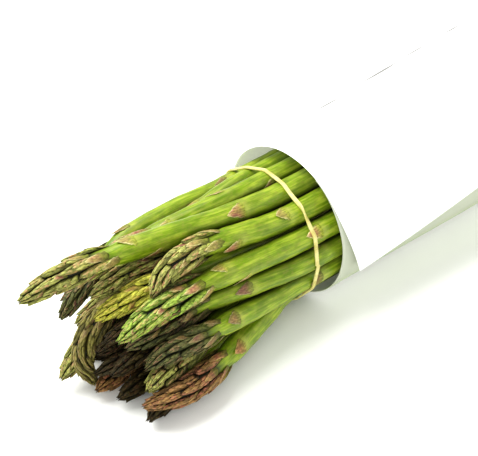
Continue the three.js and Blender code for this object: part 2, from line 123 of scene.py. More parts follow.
# Name, diameter, place round the bundle in degrees, layer, spread, tip x, y, z, droop and swing
# of the head in degrees, length of the head, turn of its bracts in degrees, tint
SPEARS = [
    ("spear_01", 10.6, 111, 1.00, 0.05, -121, 11, 54, 14, -8, 46, 230, "olive"),
    ("spear_02", 9.6, 42, 1.00, 0, -97, 19, 28, 30, 4, 42, 250, "dusky"),
    ("spear_03", 9.0, 64, 1.00, 0, -76, 17, 35, 14, -4, 38, 45, "olive"),
    ("spear_04", 9.4, 87, 0.98, 0, -86, 14, 46, 10, -4, 36, 180, "olive"),
    ("spear_05", 10.6, 135, 1.00, 0.04, -78, -19, 50, 36, 16, 42, 115, "olive"),
    ("spear_06", 10.4, 158, 1.00, 0, -97, -20, 39, 16, 2, 48, 220, "fresh"),
    ("spear_07", 9.8, 180, 1.00, 0, -90, -16, 29, 16, -8, 42, 295, "dusky"),
    ("spear_08", 9.8, 200, 1.00, 0, -90, -28, 26, 12, 6, 40, 180, "dusky"),
    ("spear_09", 10.4, 221, 1.00, 0.22, -97, -34, 14, 4, -10, 48, 170, "brown"),
    ("spear_10", 9.0, 245, 1.00, 0, -95, -34, 5.5, 0, 22, 36, 90, "dark"),
    ("spear_11", 9.4, 268, 1.00, 0, -96, -16, 6, 2, 6, 40, 0, "dark"),
    ("spear_12", 9.4, 290, 1.00, 0, -100, -7, 7, 8, 14, 40, 45, "brown"),
    ("spear_13", 9.8, 312, 1.00, 0, -107, 8, 8, 28, 6, 42, 0, "olive"),
    ("spear_14", 9.4, 335, 1.00, 0, -88, 19, 6.5, 4, -2, 38, 90, "dusky"),
    ("spear_15", 9.6, 357, 1.00, 0, -84, 27, 13, 6, -2, 38, 90, "olive"),
    ("spear_16", 9.4, 19, 1.00, 0, -76, 28, 25, 8, -2, 38, 0, "olive"),
    ("spear_17", 9.6, 100, 0.62, 0, -91, 5, 44, 14, -12, 46, 300, "olive"),
    ("spear_18", 9.8, 150, 0.62, 0, -94, -1, 37.5, 6, -16, 44, 45, "yellow"),
    ("spear_19", 9.8, 208, 0.62, 0, -94, -33, 20, 12, 2, 44, 70, "olive"),
    ("spear_20", 10.2, 54, 0.60, 0, -98, -3, 7, 48, 131, 48, 45, "khaki"),
    ("spear_21", 9.2, 178, 0.58, 0, -99, -17, 21, 12, 4, 40, 0, "dark"),
    ("spear_22", 9.2, 10, 0.60, 0, -74, 14, 27, 8, 0, 38, 90, "dusky"),
    ("spear_23", 9.2, 332, 0.60, 0, -93, 3, 14, 8, 0, 38, 0, "dark"),
    ("spear_24", 9.2, 262, 0.60, 0, -98, -4, 11, 6, 0, 38, 45, "dark"),
    ("spear_25", 9.0, 80, 0.12, 0, -96, -10, 32, 6, 0, 40, 45, "dusky"),
    ("spear_26", 9.0, 270, 0.16, 0, -97, -5, 24, 6, 0, 38, 0, "dark"),
]

# Rubber band
BAND_WIDTH = 1.9
BAND_THICKNESS = 1.0
BAND_STATIONS = 420
BAND_SIDES = 14
BAND_OUTLINE_SIDES = 48
BAND_TURNS_FROM = 112
BAND_TURNS_TO = 150

# Paper
PAPER_THICKNESS = 0.7
PAPER_FRONT_X = 13
PAPER_BACK_X = 160
PAPER_FRONT_Y = 36.8
PAPER_FRONT_Z = 35.8
PAPER_BACK_Y = 42
PAPER_BACK_Z = 41
PAPER_SINK = 1.3
PAPER_OUTER_END = 191
PAPER_TURN = 431
PAPER_LAYER_GAP = 1.5
PAPER_FLAP_LIFT = 3.0
PAPER_FLAP_TURN = 42
PAPER_CORNER_SLANT = 8
PAPER_CORNER_TURN = 60
FLAP_CORNER_LOWER = 5
FLAP_END_HIGHER = 17
FLAP_SLANT_TURN = 130
FLAP_SLANT_SHARE = 0.75
SHEET_HALF = 0.14
SHEET_TURNS = 241
SHEET_LENGTHS = 91
TUCKED_LAYER_GAP = 0.45
CREASE_TURN = 40
CREASE_SHARE = 0.5

# Creases of the paper: degrees turned, length share, their run in degrees and share, depth, and
# width as a share of CREASE_TURN and CREASE_SHARE
CREASES = [
    (135, 0.31, -5, 0.1, 0.45, 0.12),
    (138, 0.55, -5, 0.08, 0.62, 0.14),
    (137, 0.72, -4, 0.08, 0.48, 0.12),
    (136, 0.9, -3, 0.06, 0.45, 0.14),
    (62, 0.42, 20, 0.35, 0.14, 0.05),
    (205, 0.4, -24, 0.4, 0.14, 0.05),
    (80, 0.9, 26, 0.16, 0.14, 0.05),
]

MM = 0.001


def smooth_step(low, high, value):
    """0 below low, 1 above high, with a soft rise between."""
    share = np.clip((value - low) / (high - low), 0, 1)
    return share * share * (3 - 2 * share)


def mix(first, second, share):
    return first + (second - first) * share


# Middle lines of the spears


class Spear:
    """One spear: its sizes, and its middle line from the cut end to the tip."""

    def __init__(self, number, row):
        name, diameter, clock, layer, spread, x, y, z, droop, swing, head, turn, tint = row
        self.number = number
        self.name = name
        self.radius = diameter / 2
        self.clock = math.radians(clock)
        self.layer = layer
        self.spread = spread
        self.tip = np.array([x, y, z], float)
        self.droop = math.radians(droop)
        self.swing = math.radians(swing)
        self.head = head
        self.turn = math.radians(turn)
        self.tint = tint
        self.chance = np.random.RandomState(400 + number)
        self.line = self.first_line()
        steps = np.linalg.norm(np.diff(self.line, axis=0), axis=1)
        from_butt = np.concatenate([[0], np.cumsum(steps)])
        self.first_length = from_butt[-1]
        self.room = self.room_radius(self.first_length - from_butt)

    def head_radius(self, from_tip):
        """Radius over the tips of the bracts."""
        return self.radius * np.interp(from_tip / self.head, HEAD_SHARES, HEAD_RADII)

    def stalk_radius(self, s):
        return self.radius * np.interp(s / self.length, [0, 0.35, 0.75], [1.03, 1, 0.96])

    def room_radius(self, from_tip):
        """Room that the spear needs round its middle line."""
        stalk = np.where(from_tip > self.head, self.radius, 0)
        return np.maximum(self.head_radius(from_tip), stalk) + 0.15

    def first_line(self):
        """Straight from the cut end to the band, then one bend to the tip."""
        outward = np.array([0, math.cos(self.clock), math.sin(self.clock)])
        band = np.array([0, 0, BUNDLE_CENTRE_Z]) + self.layer * outward * [0, RING_Y, RING_Z]
        butt = band + [BUTT_X, 0, 0]
        reach = np.linalg.norm(self.tip - band) / 3
        ahead = np.array([
            -math.cos(self.swing) * math.cos(self.droop),
            -math.sin(self.swing) * math.cos(self.droop),
            -math.sin(self.droop),
        ])
        leaving = np.array([-1, 0, 0]) + self.spread * outward
        corners = [band, band + leaving * reach, self.tip - ahead * reach, self.tip]

        def bend(share):
            share = share[:, None]
            back = 1 - share
            return (back**3 * corners[0] + 3 * back**2 * share * corners[1]
                    + 3 * back * share**2 * corners[2] + share**3 * corners[3])

        fine = bend(np.linspace(0, 1, 201))
        bend_length = np.linalg.norm(np.diff(fine, axis=0), axis=1).sum()
        straight = round(CENTRE_POINTS * BUTT_X / (BUTT_X + bend_length))
        held = butt + (band - butt) * (np.arange(straight) / straight)[:, None]
        return np.vstack([held, bend(np.linspace(0, 1, CENTRE_POINTS - straight))])

    def measure_line(self, line):
        """Takes the settled line, and the frames along its smooth curve."""
        points = smooth_curve(line)
        steps = np.linalg.norm(np.diff(points, axis=0), axis=1)
        self.at = np.concatenate([[0], np.cumsum(steps)])
        self.length = self.at[-1]
        self.centres = points
        ahead = np.gradient(points, self.at, axis=0)
        ahead /= np.linalg.norm(ahead, axis=1, keepdims=True)
        side = np.cross([0, 0, 1], ahead)
        self.sides = side / np.linalg.norm(side, axis=1, keepdims=True)
        self.ups = np.cross(ahead, self.sides)
        self.aheads = ahead

    def along_curve(self, s, values):
        return np.stack([np.interp(s, self.at, values[:, k]) for k in range(3)], axis=-1)

    def place(self, s, angle, radius):
        """Points at a distance from the cut end, an angle round the spear and a radius."""
        beyond = np.maximum(s - self.length, 0)[..., None]
        centre = self.along_curve(s, self.centres) + beyond * self.aheads[-1]
        side = self.along_curve(s, self.sides)
        up = self.along_curve(s, self.ups)
        radius = radius[..., None]
        return centre + radius * (np.cos(angle)[..., None] * side + np.sin(angle)[..., None] * up)

    def middle_at(self, s):
        """One point of the middle line."""
        return self.place(np.array([s]), np.zeros(1), np.zeros(1))

    def crevice_at(self, s, angle):
        """The measured crevices at points of the surface."""
        s, angle = np.broadcast_arrays(s, angle)
        ring = np.clip(s / self.length, 0, 0.9999) * CREVICE_RINGS
        side = angle / (2 * math.pi) % 1 * CREVICE_SIDES
        i, j = ring.astype(int), side.astype(int)
        before = mix(self.crevices[i, j], self.crevices[i, j + 1], side - j)
        after = mix(self.crevices[i + 1, j], self.crevices[i + 1, j + 1], side - j)
        return mix(before, after, ring - i)


def measure_crevices(spear, spears):
    """How deep a spear's surface lies in the crevices to the others: 1 at a touch, 0 in the open. The
    materials darken by it as painted shade between the spears.
    """
    s = np.linspace(0, spear.length, CREVICE_RINGS + 1)
    angle = np.linspace(0, 2 * math.pi, CREVICE_SIDES + 1)
    s, angle = np.meshgrid(s, angle, indexing="ij")
    points = spear.place(s, angle, spear.room_radius(spear.length - s))
    gap = np.full(s.shape, CREVICE_OPEN)
    for other in spears:
        if other is spear:
            continue
        line = other.centres[::CURVE_STEPS]
        thick = other.room_radius(other.length - other.at[::CURVE_STEPS])
        along = line[1:] - line[:-1]
        away = points[..., None, :] - line[:-1]
        share = np.clip((away * along).sum(-1) / (along * along).sum(-1), 0, 1)
        distance = np.linalg.norm(away - share[..., None] * along, axis=-1)
        gap = np.minimum(gap, (distance - mix(thick[:-1], thick[1:], share)).min(-1))
    spear.crevices = smooth_step(CREVICE_OPEN, 0, gap)


def smooth_curve(line):
    """A smooth curve through the points of a line."""
    before = 2 * line[0] - line[1]
    after = 2 * line[-1] - line[-2]
    points = np.vstack([before, line, after])
    start, end = points[1:-2, None], points[2:-1, None]
    leave = (points[2:-1, None] - points[:-3, None]) / 2
    arrive = (points[3:, None] - points[1:-2, None]) / 2
    t = (np.arange(CURVE_STEPS) / CURVE_STEPS)[None, :, None]
    square = 3 * (end - start) - 2 * leave - arrive
    cube = 2 * (start - end) + leave + arrive
    spans = start + leave * t + square * t**2 + cube * t**3
    return np.vstack([spans.reshape(-1, 3), line[-1:]])


def distances_between(lines, rooms, point, base):
    """How far points lie from stretches of other spears, and how far they should."""
    flat = lines.reshape(-1, 3)
    room = rooms.reshape(-1)
    along = flat[base + 1] - flat[base]
    away = flat[point] - flat[base]
    share = np.clip((away * along).sum(-1) / (along * along).sum(-1), 0, 1)
    away = away - share[..., None] * along
    distance = np.linalg.norm(away, axis=-1)
    wanted = room[point] + mix(room[base], room[base + 1], share) + SPEAR_GAP
    return away, share, distance, wanted


def near_pairs(lines, rooms):
    """Points and stretches of different spears that may soon touch."""
    count, length = rooms.shape
    point = np.arange(count * length)
    base = point[point % length < length - 1]
    point, base = (grid.ravel() for grid in np.meshgrid(point, base, indexing="ij"))
    apart = point // length != base // length
    x = lines[..., 0].ravel()
    close = apart & (np.abs(x[point] - x[base]) < LOOK_AHEAD)
    point, base = point[close], base[close]
    distance, wanted = distances_between(lines, rooms, point, base)[2:]
    near = distance < wanted + SOON_TOUCHING
    return point[near], base[near]


def pushes(lines, rooms, near):
    """Pushes of the spears on each other where they come too close."""
    point, base = near
    away, share, distance, wanted = distances_between(lines, rooms, point, base)
    touching = distance < wanted
    point, base, share = point[touching], base[touching], share[touching, None]
    pressed = PUSH * (wanted - distance)[touching] / distance[touching]
    push = away[touching] * pressed[:, None]
    moves = np.zeros((lines.shape[0] * lines.shape[1], 3))
    np.add.at(moves, point, push)
    np.add.at(moves, base, -(1 - share) * push)
    np.add.at(moves, base + 1, -share * push)
    return moves.reshape(lines.shape)


def hold_in(lines, rooms):
    """Keeps the spears on the table and, from the band back, inside what holds them."""
    x, y, z = lines[..., 0], lines[..., 1], lines[..., 2]
    held = np.clip((x - FREE_X) / (HELD_X - FREE_X), 0, 1)
    table = np.where(x > STALKS_X, UNDER_STALKS, UNDER_HEADS)
    z[:] = np.maximum(z, rooms + table)
    half_y = RING_Y + HOLD_ROOM - rooms + FREE_ROOM * (1 - held)
    half_z = RING_Z + HOLD_ROOM - rooms + FREE_ROOM * (1 - held)
    high = z - BUNDLE_CENTRE_Z
    out = np.hypot(y / half_y, high / half_z)
    out = np.where((held > 0) & (out > 1), out, 1)
    y[:] = y / out
    z[:] = BUNDLE_CENTRE_Z + high / out


def settle(spears):
    """Lets the spears settle against each other, each as a smooth line."""
    start = np.array([spear.line for spear in spears])
    rooms = np.array([spear.room for spear in spears])
    lines = start.copy()
    for turn in range(SETTLE_ROUNDS):
        if turn % 8 == 0:
            near = near_pairs(lines, rooms)
        moves = pushes(lines, rooms, near)
        moves[..., 0] *= PUSH_ALONG
        size = np.linalg.norm(moves, axis=2, keepdims=True)
        lines += moves * np.minimum(1, LONGEST_MOVE / np.maximum(size, 1e-9))
        hold_in(lines, rooms)
        if turn < SMOOTH_ROUNDS:
            shift = lines - start
            even = 0.5 * shift[:, 1:-1] + 0.25 * (shift[:, :-2] + shift[:, 2:])
            lines[:, 1:-1] = start[:, 1:-1] + even
    for spear, line in zip(spears, lines):
        spear.measure_line(line)


# Meshes


def add_object(name, data):
    """Puts an object into the scene."""
    thing = bpy.data.objects.new(name, data)
    bpy.context.scene.collection.objects.link(thing)
    return thing


def round_angles(sides):
    """Angles of the sides round a section."""
    return np.arange(sides) * 2 * math.pi / sides


def per_body(values):
    """One value for each body, ready to spread over its rings and sides."""
    return values[..., None, None]


class Skin:
    """Gathers the points, faces and surface values of one piece."""

    def __init__(self, names):
        self.points = []
        self.values = {name: [] for name in names}
        self.faces = []
        self.kinds = []
        self.count = 0

    def add_points(self, points, values):
        """Adds points and returns the number of the first one."""
        first = self.count
        points = points.reshape(-1, 3)
        self.points.append(points)
        self.count += len(points)
        for name, gathered in self.values.items():
            gathered.append(np.broadcast_to(values.get(name, 0), (len(points),)))
        return first

    def add_faces(self, faces, kind=0):
        self.faces.extend(faces.tolist())
        self.kinds.extend([kind] * len(faces))

    def make(self, name, materials, shift):
        """Makes the object, in metres and in the row's own frame."""
        points = (np.concatenate(self.points) + shift) * MM
        mesh = bpy.data.meshes.new(name)
        mesh.from_pydata(points.tolist(), [], self.faces)
        for material in materials:
            mesh.materials.append(material)
        mesh.polygons.foreach_set("material_index", self.kinds)
        for value_name, gathered in self.values.items():
            attribute = mesh.attributes.new(value_name, "FLOAT", "POINT")
            attribute.data.foreach_set("value", np.concatenate(gathered).astype(np.float32))
        mesh.shade_smooth()
        mesh.update()
        return add_object(name, mesh)


def body_faces(bodies, rings, sides):
    """Quads and end triangles of closed bodies. Each has a first pole, its rings, and a last pole."""
    side = np.arange(sides)
    after = (side + 1) % sides
    low = 1 + sides * np.arange(rings - 1)[:, None]
    quads = np.stack([low + side, low + after, low + sides + after, low + sides + side], -1)
    last = 1 + sides * (rings - 1)
    pole = rings * sides + 1
    first_end = np.stack([np.zeros(sides, int), 1 + after, 1 + side], -1)
    last_end = np.stack([last + side, last + after, np.full(sides, pole)], -1)
    starts = per_body(np.arange(bodies) * (rings * sides + 2))
    quads = (quads.reshape(1, -1, 4) + starts).reshape(-1, 4)
    ends = (np.concatenate([first_end, last_end])[None] + starts).reshape(-1, 3)
    return quads, ends


def add_bodies(skin, rings, first, last, values, kind):
    """Adds closed bodies of rings (bodies, rings, sides, 3) with their end points (bodies, 3)."""
    bodies, ring_count, sides = rings.shape[:3]
    points = np.concatenate([first[:, None], rings.reshape(bodies, -1, 3), last[:, None]], axis=1)
    spread = {}
    for name, value in values.items():
        value = np.broadcast_to(value, (bodies, ring_count, sides))
        ends = value[:, 0, :1], value[:, -1, :1]
        spread[name] = np.concatenate([ends[0], value.reshape(bodies, -1), ends[1]], axis=1).ravel()
    start = skin.add_points(points, spread)
    for faces in body_faces(bodies, ring_count, sides):
        skin.add_faces(faces + start, kind)


# One spear

SPEAR_VALUES = (
    "from_butt", "around_y", "around_z", "from_tip", "margin", "along", "chance", "cut", "node", "sunk",
    "near_stalk", "crevice_shade",
)
STALK, BRACT, BUD, CUT_END = range(4)


def surface_values(spear, s, angle, radius):
    """Where a point lies on its spear, for the grain of the materials, and how deep it lies between the
    spears, for their painted shade.
    """
    return {
        "from_butt": s + GRAIN_APART * spear.number,
        "around_y": radius * np.cos(angle),
        "around_z": radius * np.sin(angle),
        "from_tip": spear.length - s,
        "near_stalk": smooth_step(spear.head - 18, spear.head - 3, spear.length - s),
        "crevice_shade": spear.crevice_at(s, angle),
    }


def stalk_bract_feet(spear):
    """Distances of the stalk bracts' feet from the tip, and their rows, from the head down."""
    feet = []
    foot = spear.head + FIRST_BRACT_BELOW_HEAD
    spacing = BRACT_SPACING
    while foot < spear.first_length - BRACT_END_MARGIN:
        feet.append(foot)
        foot += spacing
        spacing += BRACT_SPACING_GROWTH
    rows = (-TURN_STEP * (1 + np.arange(len(feet)))) % ROWS
    return np.array(feet), rows


def relief(radius):
    """How far the buds stand out of the gaps between them."""
    return 0.25 * radius + 0.35 * np.minimum(radius / 3, 1)


def core_radius(spear, s):
    """Radius of the stalk, and of the head under its scales."""
    from_tip = spear.length - s
    head = spear.head_radius(from_tip)
    under = head - 1.15 * relief(head)
    in_head = 1 - smooth_step(spear.head - 9, spear.head + 3, from_tip)
    return np.maximum(mix(spear.stalk_radius(s), under, in_head), 0.12)


def add_core(skin, spear):
    """The stalk with its soft ribs, and the core of the head."""
    s = np.concatenate([
        CUT_EDGE,
        np.arange(3.5, spear.length - spear.head, STALK_STEP),
        np.linspace(spear.length - spear.head + 1, spear.length - 0.6, CORE_STATIONS),
    ])
    s, angle = np.meshgrid(s, round_angles(CORE_SIDES), indexing="ij")
    radius = core_radius(spear, s)
    phase = spear.chance.uniform(0, 6.28, 4)
    on_stalk = smooth_step(spear.head - 6, spear.head + 10, spear.length - s)
    ribs = 0.05 * np.cos(11 * angle + phase[0]) + 0.04 * np.cos(7 * angle + phase[1])
    swell = 0.07 * np.sin(0.19 * s + phase[2]) + 0.05 * np.sin(0.43 * s + 2 * angle + phase[3])
    radius = radius + on_stalk * (ribs + swell)
    node = np.zeros_like(s)
    for from_tip, row in zip(*stalk_bract_feet(spear)):
        past_foot = s - (spear.length - from_tip)
        facing = np.clip(np.cos(angle - spear.turn - row * 2 * math.pi / ROWS), 0, 1)
        radius = radius + (0.1 + 0.12 * facing) * np.exp(-(((past_foot - 0.2) / 1.5) ** 2))
        node = node + facing ** 1.5 * np.exp(-(((past_foot + 0.6) / 1.8) ** 2))
    radius = radius * np.interp(s, CUT_EDGE, CUT_EDGE_ROUNDING)
    values = surface_values(spear, s, angle, radius)
    values.update(
        cut=smooth_step(0.7, 0.1, s),
        node=np.minimum(node, 1),
        # The core of the head goes near black by this: painted shade in the gaps between the buds.
        sunk=smooth_step(spear.head - 7, spear.head - 15, spear.length - s),
        chance=spear.chance.uniform(),
    )
    points = spear.place(s, angle, radius)
    add_bodies(skin, points[None], spear.middle_at(0), spear.middle_at(spear.length), values, STALK)


def add_cut_end(skin, spear):
    """The cut face: a shallow disc over the end of the stalk."""
    share, angle = np.meshgrid(CUT_END_SHARES, round_angles(CUT_END_SIDES), indexing="ij")
    radius = share * spear.stalk_radius(0) * 0.97
    depth = 0.12 * smooth_step(0.6, 0.0, share) + 0.05 * np.sin(9 * angle) * share - 0.05
    face = spear.place(depth, angle, radius)
    face = face + np.minimum(depth, 0)[..., None] * spear.aheads[0]
    values = surface_values(spear, depth, angle, radius)
    values.update(cut=1)
    add_bodies(skin, face[None], spear.middle_at(1.2), spear.middle_at(0.02), values, CUT_END)


def scale_ring(rings, sides):
    """Stations along a scale, and the angles round its own section."""
    along = (np.arange(rings) + 0.5) / rings
    return along[None, :, None], round_angles(sides)[None, None, :]


def ragged(spear, count, rings, across):
    """Small irregular steps along both margins of thin bracts."""
    left, right = spear.chance.uniform(-1, 1, (2, count, rings, 1))
    return 1 + RAGGED * np.where(across < 0, left, right)


def add_stalk_bracts(skin, spear):
    """The single bracts on the stalk: thin, pointed, with their feet grown into it."""
    feet, rows = stalk_bract_feet(spear)
    count = len(feet)
    chance = per_body(spear.chance.uniform(-1, 1, (4, count)))
    length = STALK_BRACT_LENGTH * (0.92 + 0.14 * chance[0])
    foot = per_body(spear.length - feet)
    middle = per_body(spear.turn + rows * 2 * math.pi / ROWS) + 0.06 * chance[1]
    along, round_it = scale_ring(12, 16)
    across = -np.cos(round_it)
    half = math.radians(STALK_BRACT_HALF) * (1 - along) ** 0.8 * (1 + 0.12 * chance[2])
    half = half * ragged(spear, count, 12, across)
    outer = np.maximum(np.sin(round_it), 0)
    inner = np.minimum(np.sin(round_it), 0)
    lean = math.radians(STALK_BRACT_LEAN) * chance[3]
    angle = middle + half * across + lean * along**2
    s = foot - 0.6 + (length + 0.6) * along
    lift = -0.15 + 0.3 * smooth_step(0, 0.25, along) + (0.5 + 0.3 * chance[1]) * along**2.5
    keel = 0.12 * (1 - across**2) * (1 - along)
    radius = spear.stalk_radius(s) + lift + keel + outer * 0.2 * (1 - along) + inner * 0.22
    values = surface_values(spear, s, angle, radius)
    values.update(margin=np.abs(across), along=along, chance=(chance[0] + 1) / 2)
    foot, middle, end, lean = (each[:, 0, 0] for each in (foot, middle, foot + length, lean))
    at_end = spear.stalk_radius(end)
    first = spear.place(foot - 0.8, middle, at_end - 0.4)
    last = spear.place(end + 0.3, middle + lean, at_end + 0.7)
    add_bodies(skin, spear.place(s, angle, radius), first, last, values, BRACT)


def head_lattice(spear):
    """Feet of the bracts in their spiral, from the lowest to the tip: s, radius and row."""
    from_tip = []
    at = float(spear.head)
    while at > LAST_BRACT_FROM_TIP:
        from_tip.append(at)
        at -= max(BRACT_RISE * spear.head_radius(at), LEAST_RISE)
    from_tip = np.array(from_tip)
    rows = (TURN_STEP * np.arange(len(from_tip))) % ROWS
    blunt = 1 + 0.25 * np.exp(-((from_tip / 6) ** 2))
    return spear.length - from_tip, blunt * spear.head_radius(from_tip), rows


class HeadUnits:
    """The units of a head, each a bract with the bud behind it, on a diamond of the spiral."""

    def __init__(self, spear):
        s, radius, rows = head_lattice(spear)
        self.spear = spear
        self.count = len(s)
        self.foot = s
        self.apex = np.concatenate([s[ROWS:], np.full(ROWS, spear.length + 0.2)])
        self.foot_radius = radius
        self.apex_radius = np.concatenate([radius[ROWS:], np.full(ROWS, 0.2 * spear.radius)])
        self.chance = spear.chance.uniform(0, 1, (8, self.count))
        astray = UNITS_ASTRAY * (self.chance[6] - 0.5)
        self.middle = spear.turn + (rows + astray) * 2 * math.pi / ROWS
        self.fullness = 0.82 + 0.36 * self.chance[7]

    def height(self, across, along, pick):
        """Radius of the buds' surface at a place in the units numbered by pick."""
        radius = mix(self.foot_radius[pick], self.apex_radius[pick], np.clip(along, 0, 1))
        rise = 0.25 + 0.75 * smooth_step(-0.05, 0.5, along)
        half = bud_half_width(along)
        crest = np.clip(1 - (across / np.maximum(half, 0.05)) ** 2, 0, 1) ** 0.65
        stands_out = self.fullness[pick] * rise * (0.15 + 0.85 * crest)
        return radius - relief(radius) * (1 - stands_out)

    def sunk(self, along, radius, pick):
        """How deep points lie in the gaps, from 0 on the crests of the buds to 1. The materials darken
        the gaps by it: partly their darker colour, partly painted shade.
        """
        outer = mix(self.foot_radius[pick], self.apex_radius[pick], np.clip(along, 0, 1))
        return np.clip((outer - radius) / relief(outer), 0, 1)

    def place(self, across, along, radius, pick):
        """Points in a unit: across in rows, along from its foot to its apex."""
        s = mix(self.foot[pick], self.apex[pick], along)
        angle = self.middle[pick] + across * 2 * math.pi / ROWS
        return self.spear.place(s, angle, radius), surface_values(self.spear, s, angle, radius)


def bud_half_width(along):
    """Half width of a bud, in rows."""
    share = np.clip(along / 1.12, 0.02, 0.99)
    return 0.6 * np.sin(math.pi * share ** 0.85) ** 0.6


def add_buds(skin, units):
    """The smooth body of each bud."""
    ends = np.arange(units.count)
    pick = per_body(ends)
    along, round_it = scale_ring(8, 12)
    along = 1.1 * along
    across = -np.cos(round_it) * bud_half_width(along)
    out = np.sin(round_it)
    radius = units.height(across, along, pick) + np.where(out < 0, 0.5 * out, 0)
    points, values = units.place(across, along, radius, pick)
    values.update(
        margin=np.abs(np.cos(round_it)),
        along=0.35 * along,
        sunk=units.sunk(along, radius, pick),
        chance=per_body(units.chance[0]),
    )
    first = units.place(0, -0.03, units.foot_radius - relief(units.foot_radius) - 0.3, ends)[0]
    last = units.place(0, 1.12, units.apex_radius + 0.05, ends)[0]
    add_bodies(skin, points, first, last, values, BUD)


def add_bud_scales(skin, units):
    """The small pointed scales that cover each bud."""
    pick = np.repeat(np.arange(units.count), len(BUD_SCALES))
    middle, foot, half, length = np.tile(BUD_SCALES, (units.count, 1)).T
    chance = units.spear.chance.uniform(-1, 1, (5, len(pick)))
    middle = middle + 0.07 * chance[0]
    foot = foot + 0.04 * chance[1]
    half = 1.2 * half * (1 + 0.2 * chance[2])
    length = length * (1 + 0.2 * chance[3])
    tip_lift = (0.05 + 0.03 * chance[4]) * mix(units.foot_radius, units.apex_radius, 0.5)[pick]
    along, round_it = scale_ring(4, 6)
    full = (np.sin(math.pi * along**0.75)) ** 0.8
    each = per_body(pick)
    v = per_body(foot) + per_body(length) * along
    u = per_body(middle) * (1 - SCALES_CLOSE_UP * along) - per_body(half) * full * np.cos(round_it)
    out = np.sin(round_it)
    size = mix(units.foot_radius, units.apex_radius, 0.5)[each]
    swell = 0.08 * size * full * np.where(out > 0, 1, 0.8) * out
    radius = units.height(u, v, each) + swell + per_body(tip_lift) * along**2
    points, values = units.place(u, v, radius, each)
    values.update(
        margin=np.abs(np.cos(round_it)),
        along=0.35 + 0.65 * along,
        sunk=units.sunk(v, radius, each),
        chance=per_body(chance[4] + 1) / 2,
    )

    def end(share, lift):
        at_v = foot + length * share
        at_u = middle * (1 - SCALES_CLOSE_UP * share)
        return units.place(at_u, at_v, units.height(at_u, at_v, pick) + lift, pick)[0]

    add_bodies(skin, points, end(0, -0.1), end(1.04, tip_lift), values, BUD)


def add_head_bracts(skin, units):
    """The bract in front of each bud, thin and pointed, its tip a little off the bud."""
    everywhere = np.arange(units.count - 3)
    ends = everywhere[(everywhere < 9) | (units.chance[5, everywhere] < 0.5)]
    pick = per_body(ends)
    chance = per_body(units.chance[:, ends])
    lowest = np.clip(1 - pick / 9, 0, 1)
    reach = 0.3 + 0.16 * chance[1] + 0.24 * lowest
    along, round_it = scale_ring(8, 12)
    across = -np.cos(round_it)
    half = (0.5 + 0.12 * chance[2] + 0.2 * lowest) * (1 - along) ** 0.8 * (0.9 + 0.4 * along)
    half = half * ragged(units.spear, len(ends), 8, across)
    sideways = 0.1 * (chance[3] - 0.5)
    u = across * half + sideways * along
    v = -0.1 + (reach + 0.1) * along
    size = mix(units.foot_radius, units.apex_radius, 0.4)[pick]
    lift = -0.05 + (0.05 + 0.05 * size) * smooth_step(0, 0.4, along) + 0.06 * size * along**2
    out = np.sin(round_it)
    thick = np.where(out > 0, 0.12, 0.1) * out * (1 - 0.6 * along)
    radius = units.height(u * 0.8, v, pick) + lift + thick
    points, values = units.place(u, v, radius, pick)
    values.update(
        margin=np.abs(across),
        along=along,
        sunk=units.sunk(v, radius, pick),
        chance=chance[4],
    )
    size, reach, sideways = (each[:, 0, 0] for each in (size, reach + 0.02, sideways))
    foot_height = units.height(0, np.full(len(ends), -0.12), ends) - 0.2
    tip_height = units.height(sideways, reach, ends) + 0.12 * size
    first = units.place(0, -0.12, foot_height, ends)[0]
    last = units.place(sideways, reach, tip_height, ends)[0]
    add_bodies(skin, points, first, last, values, BRACT)


def make_spear(spear, materials, shift):
    """One whole spear as one mesh."""
    skin = Skin(SPEAR_VALUES)
    add_core(skin, spear)
    add_cut_end(skin, spear)
    add_stalk_bracts(skin, spear)
    units = HeadUnits(spear)
    add_buds(skin, units)
    add_bud_scales(skin, units)
    add_head_bracts(skin, units)
    piece = skin.make("asparagus_" + spear.name, materials, shift)
    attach(piece, "root")
    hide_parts(spear.name)


# Rubber band


def band_outline(spears):
    """The tightest loop round the spears in the band's leaning plane, as (y, z) points."""
    rim = []
    round_it = round_angles(BAND_OUTLINE_SIDES)
    for spear in spears:
        crossed = spear.centres[:, 0] < BAND_TILT * (spear.centres[:, 2] - BUNDLE_CENTRE_Z)
        y, z = spear.centres[np.argmax(crossed), 1:]
        reach = spear.radius + BAND_THICKNESS / 2
        rim.append(np.stack([y + reach * np.cos(round_it), z + reach * np.sin(round_it)], 1))
    points = sorted(map(tuple, np.vstack(rim)))

    def chain(ordered):
        kept = []
        for point in ordered:
            while len(kept) > 1:
                (ax, ay), (bx, by) = kept[-2:]
                if (bx - ax) * (point[1] - ay) - (by - ay) * (point[0] - ax) > 0:
                    break
                kept.pop()
            kept.append(point)
        return kept[:-1]

    return np.array(chain(points) + chain(points[::-1]))


def even_loop(outline, count):
    """Points at even distances round a closed outline."""
    closed = np.vstack([outline, outline[:1]])
    steps = np.linalg.norm(np.diff(closed, axis=0), axis=1)
    at = np.concatenate([[0], np.cumsum(steps)])
    wanted = np.arange(count) * at[-1] / count
    return np.stack([np.interp(wanted, at, closed[:, k]) for k in range(2)], axis=1), wanted


def squarish(values):
    """Turns a round section into one with soft corners."""
    return np.sign(values) * np.abs(values) ** 0.6


